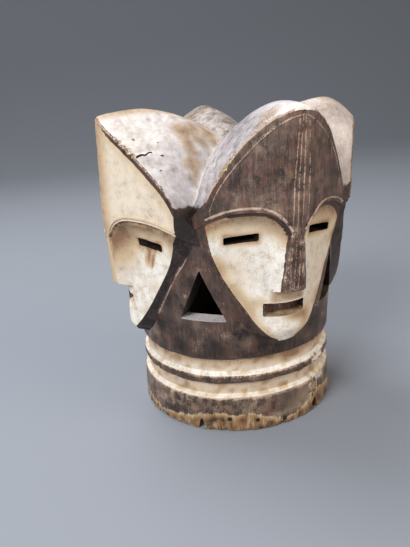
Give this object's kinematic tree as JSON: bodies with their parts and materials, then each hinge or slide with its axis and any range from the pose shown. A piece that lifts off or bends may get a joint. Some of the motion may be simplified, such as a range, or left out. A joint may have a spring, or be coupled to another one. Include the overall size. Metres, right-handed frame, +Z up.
{
  "type": "helmet mask",
  "caption": "Hollow carved wooden helmet mask: long heart-shaped faces lean out all round over a grooved round collar, under a vaulted roof with arched gables.",
  "frame": {"origin": "middle of the bounding box, on the plane that the collar's foot stands on", "axes": "+Z up through the roof; the dark front face looks towards -Y, the pale side face towards -X"},
  "size_m": [0.3024, 0.2994, 0.3349],
  "materials": {
    "carved_wood": "painted: dark brown and chalky white clay paint, worn to bare tan wood at the foot"
  },
  "bodies": {
    "root": {"helmet_mask": "carved_wood"}
  },
  "joints": []
}
